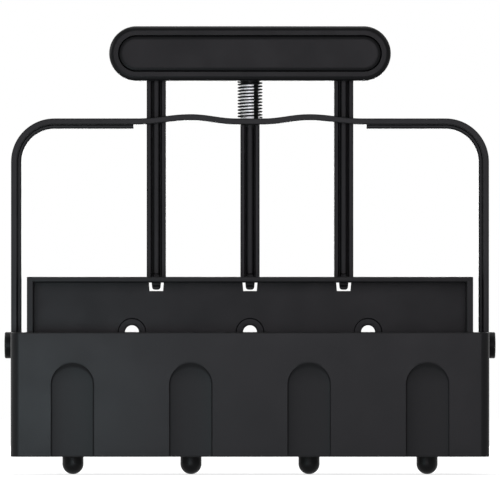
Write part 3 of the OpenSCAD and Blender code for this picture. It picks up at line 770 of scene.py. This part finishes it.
# %% Pillars with their snap tongues
PILLAR_TOP, SHOULDER = 186.0, 156.1
NECK, SLEEVE_FOOT, NECK_TOP = 3.75, 156.7, 174.3
TONGUE = [[2.1, FRAME_TOP + 0.5], [2.1, FLANGE], [1.8, 82.5]]
BARB = [[3.2, FLANGE], [3.2, 84.5], [2.2, 83.6]]
BARB_GAP = 0.02  # keeps the top of the barb off the flange
tongue_outline = rounded(both_sides(TONGUE), [0.2, 8, 1.3, 1.3, 8, 0.2])
barb_outline = rounded(both_sides(BARB), 0.2) - [0, BARB_GAP]
for name, x in zip(("left", "centre", "right"), PILLARS):
    top = SHOULDER if name == "centre" else PILLAR_TOP
    move = (x, 0, 0)
    parts = post(top)
    parts += plate(tongue_outline, -2.5, 2.5, 0.2, "front")
    parts += plate(barb_outline, -1.8, 1.8, 0.2, "side")
    parts = [(points + move, faces) for points, faces in parts]
    if name == "centre":
        neck = [[0, SHOULDER - 1], [PILLAR, SHOULDER - 1], [PILLAR, SLEEVE_FOOT]]
        neck += [[NECK, SLEEVE_FOOT], [NECK, NECK_TOP]]
        head = arc((PILLAR - 0.2, NECK_TOP + 0.2), 0.2, -90, 0, 3)
        profile = np.concatenate([neck, head, [[PILLAR, PILLAR_TOP], [0, PILLAR_TOP]]])
        parts.append(lathe(profile, (x, 0)))
    pillar = make_object(f"{name}_post", parts)
    finish_piece(pillar, "plunger", "frame_plastic", [f"{name}_pillar"])

# %% Dibbers
DIBBER, PRESS_PLATE = 4.75, 46.0
STUD, STUD_TOP = 2.5, 60.5
dibber_profile = np.concatenate(
    [
        arc((0, DIBBER), DIBBER, -90, 0, 16),
        [[DIBBER, PRESS_PLATE], [STUD, PRESS_PLATE], [STUD, STUD_TOP], [0, STUD_TOP]],
    ]
)
for number, x in enumerate(CELL_MIDDLES, 1):
    rod = make_object(f"dibber_rod_{number}", [lathe(dibber_profile, (x, 0))])
    finish_piece(rod, "plunger", "dibber_plastic", [f"dibber_{number}"])

# %% [markdown]
# ## The spring and its sleeve
# A wire spring lifts the plunger again. A compression spring is a helix whose
# end coils lie close, so its height is a smooth function of the turn that
# starts and ends slowly. The wire's round section is carried along that path.

# %% The spring
COIL, WIRE = 5.25, 0.37
SPRING_LOW, SPRING_HIGH = 159.2 + WIRE, 175.8 - WIRE
TURNS, STEPS_A_TURN = 11.5, 40
END_TURN, END_SPEED = 0.75, 0.55  # the end coils climb more slowly
turn = np.linspace(0, TURNS, int(TURNS * STEPS_A_TURN) + 1)
ease = np.clip(turn / END_TURN, 0, 1)
ease_out = np.clip((TURNS - turn) / END_TURN, 0, 1)
speed = END_SPEED + (1 - END_SPEED) * np.minimum(ease, ease_out)
climb = np.concatenate([[0], np.cumsum((speed[1:] + speed[:-1]) / 2)])
coil_z = SPRING_LOW + (SPRING_HIGH - SPRING_LOW) * climb / climb[-1]
angle = 2 * np.pi * turn
coil = np.stack([COIL * np.cos(angle), COIL * np.sin(angle), coil_z], -1)
along = np.gradient(coil, axis=0)
along /= np.linalg.norm(along, axis=1, keepdims=True)
outwards = np.stack([np.cos(angle), np.sin(angle), np.zeros(len(angle))], -1)
wire_section = circle(0, 0, WIRE, 12)
spring = make_object(
    "coil_spring", carry(wire_section, coil, outwards, np.cross(outwards, along))
)
finish_piece(spring, "mould", "spring_wire", ["return_spring"], sharp=70)
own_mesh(spring)

# %% The sleeve
SLEEVE, SLEEVE_INSIDE = 4.3, 3.8
OPEN_FROM, OPEN_TO = -66.0, 4.0  # the roll stays open here, in degrees from +X
outside = arc((0, 0), SLEEVE, OPEN_TO, OPEN_FROM + 360, 72)
inner = arc((0, 0), SLEEVE_INSIDE, OPEN_FROM + 360, OPEN_TO, 72)
sleeve = make_object(
    "bright_sleeve", plate(np.concatenate([outside, inner]), SLEEVE_FOOT, NECK_TOP, 0.1)
)
finish_piece(sleeve, "plunger", "sleeve_steel", ["spring_guide_sleeve"])

# %% [markdown]
# ## The handle
# The handle is a stadium: two half circles joined by straight lines. It is
# moulded in two shells that meet in the middle, and a separate face plate is
# set into the front. A profile of insets and heights is carried round the
# outline, and gives the soft outer edge, the flat border and the ledge that
# the plate sits in. The face is left plain.

# %% The two shells
HANDLE_HALF, HANDLE_MIDDLE, HANDLE_RADIUS, HANDLE_DEPTH = 62.95, 188.1, 12.2, 13.0
SOFT_EDGE, BORDER, LEDGE = 2.2, 4.05, 1.6
JOINT_EDGE, LEDGE_EDGE, DRAFT = 0.3, 0.12, 0.3
SCREWS = np.array([-53.4, -41.9, 0.0, 41.9, 53.4])
SCREW_SEAT, RECESS = 10.0, 3.2
straight = HANDLE_HALF - HANDLE_RADIUS
stadium = np.concatenate(
    [
        arc((straight, HANDLE_MIDDLE), HANDLE_RADIUS, -90, 90, 40),
        arc((-straight, HANDLE_MIDDLE), HANDLE_RADIUS, 90, 270, 40),
    ]
)
soft_in, soft_down = quarter(SOFT_EDGE, 12)
joint_in, joint_down = quarter(JOINT_EDGE, 3)
ledge_in, ledge_down = quarter(LEDGE_EDGE, 3)
ledge_y = -HANDLE_DEPTH + LEDGE
side_in = np.concatenate([joint_in, soft_in[::-1]])
side_y = np.concatenate([-joint_down, -HANDLE_DEPTH + soft_down[::-1]])
front_in = np.concatenate([side_in, BORDER - ledge_in, [BORDER + DRAFT]])
front_y = np.concatenate([side_y, -HANDLE_DEPTH + ledge_down, [ledge_y]])
front_wall = wall(stadium, front_in, front_y, "front")
front_shell = make_object(
    "handle_front", [grid(front_wall), cap(front_wall[0]), cap(front_wall[-1])]
)
rear_wall = wall(stadium, side_in, -side_y, "front")
recess_in = np.concatenate([joint_in, [0]])
recess_y = np.concatenate([HANDLE_DEPTH - joint_down, [SCREW_SEAT]])
recesses = [
    wall(circle(x, HANDLE_MIDDLE, RECESS)[::-1], recess_in, recess_y, "front")
    for x in SCREWS
]
rear_shell = make_object(
    "handle_rear",
    [grid(w) for w in [rear_wall] + recesses]
    + [cap(rear_wall[0]), cap(rear_wall[-1], *[w[0] for w in recesses])]
    + [cap(w[-1]) for w in recesses],
)
finish_piece(front_shell, "plunger", "handle_plastic", ["handle_front_shell"])
finish_piece(rear_shell, "plunger", "handle_plastic", ["handle_rear_shell"])

# %% The face plate
SEAM, SEAM_NARROWS = 0.45, 0.2  # dark gap round the plate, less at its floor
ROLL, ROLL_DROP = 1.9, 0.6  # the plate's edge rolls off on an ellipse
roll = np.linspace(0, np.pi / 2, 9)
plate_in = BORDER + SEAM + np.append(-SEAM_NARROWS, ROLL * (1 - np.cos(roll)))
plate_y = np.append(ledge_y, -HANDLE_DEPTH + ROLL_DROP * (1 - np.sin(roll)))
face_wall = wall(stadium, plate_in, plate_y, "front")
face_plate = make_object(
    "handle_face", [grid(face_wall), cap(face_wall[0]), cap(face_wall[-1])]
)
finish_piece(face_plate, "plunger", "handle_plastic", ["handle_face_plate"])

# %% [markdown]
# ## Moulded plastic
# The plastic is nearly black but not flat. Its mould was etched, so the skin
# has a very fine grain, and the melt leaves broad, faint clouds in the gloss.
# Both come from noise in object space, in a node group that every plastic
# shares. The group gives a height for the bump and a mask for the clouds.

# %% The grain group
GRAIN_SCALE, CLOUD_SCALE = 2600.0, 60.0


def new_group(name, inputs, outputs):
    """Node group with float sockets, the inputs given as (name, value)."""
    group = bpy.data.node_groups.new(name, "ShaderNodeTree")
    add_socket, kind = group.interface.new_socket, "NodeSocketFloat"
    for socket, value in inputs:
        made = add_socket(socket, in_out="INPUT", socket_type=kind)
        made.default_value = value
    for socket in outputs:
        add_socket(socket, in_out="OUTPUT", socket_type=kind)
    return group, group.nodes.new("NodeGroupInput"), group.nodes.new("NodeGroupOutput")


grain, grain_in, grain_out = new_group(
    "moulded_grain",
    [("Grain Scale", GRAIN_SCALE), ("Cloud Scale", CLOUD_SCALE)],
    ["Height", "Clouds"],
)
add, join = grain.nodes.new, grain.links.new
where = add("ShaderNodeTexCoord")
fine = add("ShaderNodeTexNoise")
fine.inputs["Detail"].default_value = 2.0
join(where.outputs["Object"], fine.inputs["Vector"])
join(grain_in.outputs["Grain Scale"], fine.inputs["Scale"])
broad = add("ShaderNodeTexNoise")
broad.inputs["Detail"].default_value = 3.0
broad.inputs["Roughness"].default_value = 0.6
join(where.outputs["Object"], broad.inputs["Vector"])
join(grain_in.outputs["Cloud Scale"], broad.inputs["Scale"])
join(fine.outputs["Fac"], grain_out.inputs["Height"])
join(broad.outputs["Fac"], grain_out.inputs["Clouds"])


# %% One maker for all plastics
NOISE_LOW, NOISE_HIGH = 0.3, 0.7  # nearly all of the noise lies between
# Inside the flutes: a rougher skin, and the colour darkened to nine tenths as painted
# shade for the recess.
DULL_ROUGHNESS, PAINTED_FLUTE_SHADE = 0.37, 0.9


def ramp(links, nodes, value, low, high):
    """Spreads noise over the range from low to high."""
    spread = nodes.new("ShaderNodeMapRange")
    spread.inputs["From Min"].default_value = NOISE_LOW
    spread.inputs["From Max"].default_value = NOISE_HIGH
    spread.inputs["To Min"].default_value = low
    spread.inputs["To Max"].default_value = high
    links.new(value, spread.inputs["Value"])
    return spread.outputs["Result"]


def blend_colours(nodes, first, second):
    """Mix node between two colours, for a mask to drive."""
    mix = nodes.new("ShaderNodeMix")
    mix.data_type = "RGBA"
    mix.inputs["A"].default_value = (*first, 1)
    mix.inputs["B"].default_value = (*second, 1)
    return mix


def plastic(
    name, colour, rough, depth, specular, grain_scale=GRAIN_SCALE, dull_and_shaded_where=None
):
    """Black moulded plastic: base colour and roughness vary with the clouds,
    and the grain bumps the surface, to a depth in millimetres. A mask kept on
    the mesh marks where the skin is dull, and where its colour is darkened as
    painted shade."""
    material = bpy.data.materials.new(name)
    material.use_nodes = True
    nodes, links = material.node_tree.nodes, material.node_tree.links
    skin = nodes["Principled BSDF"]
    skin.inputs["Specular IOR Level"].default_value = specular
    surface = nodes.new("ShaderNodeGroup")
    surface.node_tree = grain
    surface.inputs["Grain Scale"].default_value = grain_scale
    tint = blend_colours(nodes, [c * 0.93 for c in colour], [c * 1.07 for c in colour])
    links.new(surface.outputs["Clouds"], tint.inputs["Factor"])
    skin_colour = tint.outputs["Result"]
    gloss = ramp(links, nodes, surface.outputs["Clouds"], rough - 0.03, rough + 0.03)
    if dull_and_shaded_where:
        mask = nodes.new("ShaderNodeAttribute")
        mask.attribute_name = dull_and_shaded_where
        # Painted shade: the mask darkens the base colour inside the flutes.
        dark = blend_colours(nodes, colour, [c * PAINTED_FLUTE_SHADE for c in colour])
        links.new(mask.outputs["Fac"], dark.inputs["Factor"])
        links.new(skin_colour, dark.inputs["A"])
        skin_colour = dark.outputs["Result"]
        dull = nodes.new("ShaderNodeMix")
        dull.inputs["B"].default_value = DULL_ROUGHNESS
        links.new(mask.outputs["Fac"], dull.inputs["Factor"])
        links.new(gloss, dull.inputs["A"])
        gloss = dull.outputs["Result"]
    links.new(skin_colour, skin.inputs["Base Color"])
    links.new(gloss, skin.inputs["Roughness"])
    bump = nodes.new("ShaderNodeBump")
    bump.inputs["Strength"].default_value = 0.5
    bump.inputs["Distance"].default_value = depth * MM
    links.new(surface.outputs["Height"], bump.inputs["Height"])
    links.new(bump.outputs["Normal"], skin.inputs["Normal"])
    return material


# The flute mask makes the flutes rougher and paints shade into them.
mould_black = plastic(
    "mould_black", (0.0105, 0.0106, 0.0111), 0.32, 0.008, 0.062, dull_and_shaded_where="flute"
)
frame_black = plastic("frame_black", (0.0070, 0.0070, 0.0074), 0.32, 0.008, 0.055)
handle_black = plastic("handle_black", (0.0070, 0.0070, 0.0074), 0.32, 0.008, 0.053)
dibber_black = plastic("dibber_black", (0.0030, 0.0030, 0.0032), 0.40, 0.004, 0.12)
pin_black = plastic("pin_black", (0.0055, 0.0055, 0.0058), 0.40, 0.004, 0.07)
wire_black = plastic("oxide_wire", (0.0060, 0.0060, 0.0064), 0.35, 0.002, 0.06, 9000.0)

# %% [markdown]
# ## Metal
# The sleeve, the clips and the screws are bright steel. The spring's wire has
# a black oxide skin that hides the metal, so it is made like the plastics.
# Rolled and turned steel has fine lines that run round the part, so the noise
# is squeezed along the axis and stretched round it.

# %% Metals
def metal(name, colour, rough, stretch, depth=0.004):
    """Metal with fine lines: noise in object space, stretched by an axis."""
    material = bpy.data.materials.new(name)
    material.use_nodes = True
    nodes, links = material.node_tree.nodes, material.node_tree.links
    skin = nodes["Principled BSDF"]
    skin.inputs["Metallic"].default_value = 1.0
    where = nodes.new("ShaderNodeTexCoord")
    squeeze = nodes.new("ShaderNodeMapping")
    squeeze.inputs["Scale"].default_value = stretch
    lines = nodes.new("ShaderNodeTexNoise")
    lines.inputs["Scale"].default_value = 400.0
    lines.inputs["Detail"].default_value = 3.0
    links.new(where.outputs["Object"], squeeze.inputs["Vector"])
    links.new(squeeze.outputs["Vector"], lines.inputs["Vector"])
    tint = blend_colours(nodes, [c * 0.85 for c in colour], colour)
    links.new(lines.outputs["Fac"], tint.inputs["Factor"])
    links.new(tint.outputs["Result"], skin.inputs["Base Color"])
    gloss = ramp(links, nodes, lines.outputs["Fac"], rough - 0.05, rough + 0.08)
    links.new(gloss, skin.inputs["Roughness"])
    bump = nodes.new("ShaderNodeBump")
    bump.inputs["Strength"].default_value = 0.3
    bump.inputs["Distance"].default_value = depth * MM
    links.new(lines.outputs["Fac"], bump.inputs["Height"])
    links.new(bump.outputs["Normal"], skin.inputs["Normal"])
    return material


sleeve_steel = metal("rolled_steel", (0.84, 0.85, 0.86), 0.6, (1, 1, 12))
screw_steel = metal("zinc_plate", (0.62, 0.63, 0.65), 0.32, (1, 8, 1))

# %% Dress every piece
FINISHES = {
    "mould_plastic": mould_black,
    "frame_plastic": frame_black,
    "handle_plastic": handle_black,
    "dibber_plastic": dibber_black,
    "pin_plastic": pin_black,
    "spring_wire": wire_black,
    "sleeve_steel": sleeve_steel,
    "fastener_steel": screw_steel,
}
slots = {s["node"]: s["material_slot"] for s in frame["record"]["subparts"]}
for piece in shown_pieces():
    finish = FINISHES[piece["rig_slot"] if "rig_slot" in piece else slots[piece.name]]
    if len(piece.material_slots) == 0:
        piece.data.materials.append(finish)
    for material_slot in piece.material_slots:
        material_slot.material = finish

# %% [markdown]
# ## Studio
# The photograph has a pure white background and soft light. The world is
# white to the camera and in reflections, and dimmer as a light. The floor is
# pale, glows a little for the camera so that it meets the white, and still
# darkens where the tool takes the light away.

# %% World and floor
def seen_directly(nodes, links):
    """1 for camera, mirror and glass rays, 0 for rays that only light."""
    path = nodes.new("ShaderNodeLightPath")
    seen = path.outputs["Is Camera Ray"]
    for kind in ("Is Glossy Ray", "Is Transmission Ray"):
        either = nodes.new("ShaderNodeMath")
        either.operation = "MAXIMUM"
        links.new(seen, either.inputs[0])
        links.new(path.outputs[kind], either.inputs[1])
        seen = either.outputs["Value"]
    return seen


world = bpy.data.worlds.new("white_studio")
bpy.context.scene.world = world
world.use_nodes = True
sky_nodes, sky_links = world.node_tree.nodes, world.node_tree.links
SKY_LIGHT = 0.12
strength = sky_nodes.new("ShaderNodeMapRange")
strength.inputs["To Min"].default_value = SKY_LIGHT
strength.inputs["To Max"].default_value = 1.0
sky_links.new(seen_directly(sky_nodes, sky_links), strength.inputs["Value"])
background = sky_nodes["Background"]
background.inputs["Color"].default_value = (1, 1, 1, 1)
sky_links.new(strength.outputs["Result"], background.inputs["Strength"])

FLOOR_HALF, FLOOR_DROP = 3000.0, 0.02  # millimetres
GLOW_NEAR, GLOW_FAR = 0.7, 0.98
FADE_FROM, FADE_TO = 0.15, 0.9  # metres from the tool
floor_line = np.linspace(-FLOOR_HALF, FLOOR_HALF, 9)
floor_x, floor_y = np.meshgrid(floor_line, floor_line)
floor_z = np.full(floor_x.shape, -FLOOR_DROP)
floor = make_object(
    "floor", [grid(np.stack([floor_x, floor_y, floor_z], -1), closed=False)]
)
pale = bpy.data.materials.new("pale_floor")
pale.use_nodes = True
floor_nodes, floor_links = pale.node_tree.nodes, pale.node_tree.links
paint = floor_nodes["Principled BSDF"]
paint.inputs["Base Color"].default_value = (0.6, 0.6, 0.6, 1)
paint.inputs["Roughness"].default_value = 0.9
paint.inputs["Specular IOR Level"].default_value = 0.0
paint.inputs["Emission Color"].default_value = (1, 1, 1, 1)
spot = floor_nodes.new("ShaderNodeTexCoord")
away = floor_nodes.new("ShaderNodeVectorMath")
away.operation = "LENGTH"
floor_links.new(spot.outputs["Object"], away.inputs[0])
fade = floor_nodes.new("ShaderNodeMapRange")
fade.interpolation_type = "SMOOTHSTEP"
fade.inputs["From Min"].default_value = FADE_FROM
fade.inputs["From Max"].default_value = FADE_TO
fade.inputs["To Min"].default_value = GLOW_NEAR
fade.inputs["To Max"].default_value = GLOW_FAR
floor_links.new(away.outputs["Value"], fade.inputs["Value"])
glow = floor_nodes.new("ShaderNodeMath")
glow.operation = "MULTIPLY"
floor_links.new(fade.outputs["Result"], glow.inputs[1])
floor_links.new(seen_directly(floor_nodes, floor_links), glow.inputs[0])
floor_links.new(glow.outputs["Value"], paint.inputs["Emission Strength"])
floor.data.materials.append(pale)

# %% [markdown]
# Black plastic shows itself by what it mirrors, so the lamps are placed by
# mirror angles. The key hangs straight in front and is narrow: flat faces
# mirror it, and the small curves at the edges look past it and stay dark. One
# overhead draws the top edges, and one high on the left gives the handle its
# bright end. A cool lamp low on the left lifts that end of the moulds. Weaker
# lamps high on the right, on the left towards the back and straight behind
# serve the other views.

# %% Lamps
def soft_lamp(name, place, aim, width, height, radiance, colour=(1, 1, 1)):
    """Area lamp at a place, turned to its aim, both in metres. Its power is
    radiance x pi x area, so lamps of any size compare."""
    lamp = bpy.data.lights.new(name, "AREA")
    lamp.shape = "RECTANGLE"
    lamp.size, lamp.size_y, lamp.color = width, height, colour
    lamp.energy = radiance * np.pi * width * height
    made = bpy.data.objects.new(name, lamp)
    made.location = place
    ray = Vector(aim) - Vector(place)
    made.rotation_euler = ray.to_track_quat("-Z", "Y").to_euler()
    made.visible_camera = False
    bpy.context.scene.collection.objects.link(made)


MIDDLE, LEFT_END = (0.0, 0.0, 0.1), (-0.1, 0.0, 0.03)
ROSY, COOL = (1.0, 0.955, 1.04), (0.7, 0.94, 1.0)
soft_lamp("key", (0.0, -1.3, 0.13), MIDDLE, 0.56, 0.56, 8.1, ROSY)
soft_lamp("low_left", (-0.13, -0.3, 0.03), LEFT_END, 0.14, 0.05, 11.5, COOL)
soft_lamp("top", (0.0, 0.05, 1.0), MIDDLE, 0.5, 0.5, 5.0)
soft_lamp("high_left", (-0.9, -0.05, 0.38), MIDDLE, 0.42, 0.42, 7.5)
soft_lamp("high_right", (0.8, -0.1, 0.8), MIDDLE, 0.45, 0.45, 3.0)
soft_lamp("side_left", (-0.9, 0.35, 0.15), MIDDLE, 0.45, 0.45, 1.2)
soft_lamp("behind", (0.0, 1.3, 0.25), MIDDLE, 0.56, 0.56, 5.0)
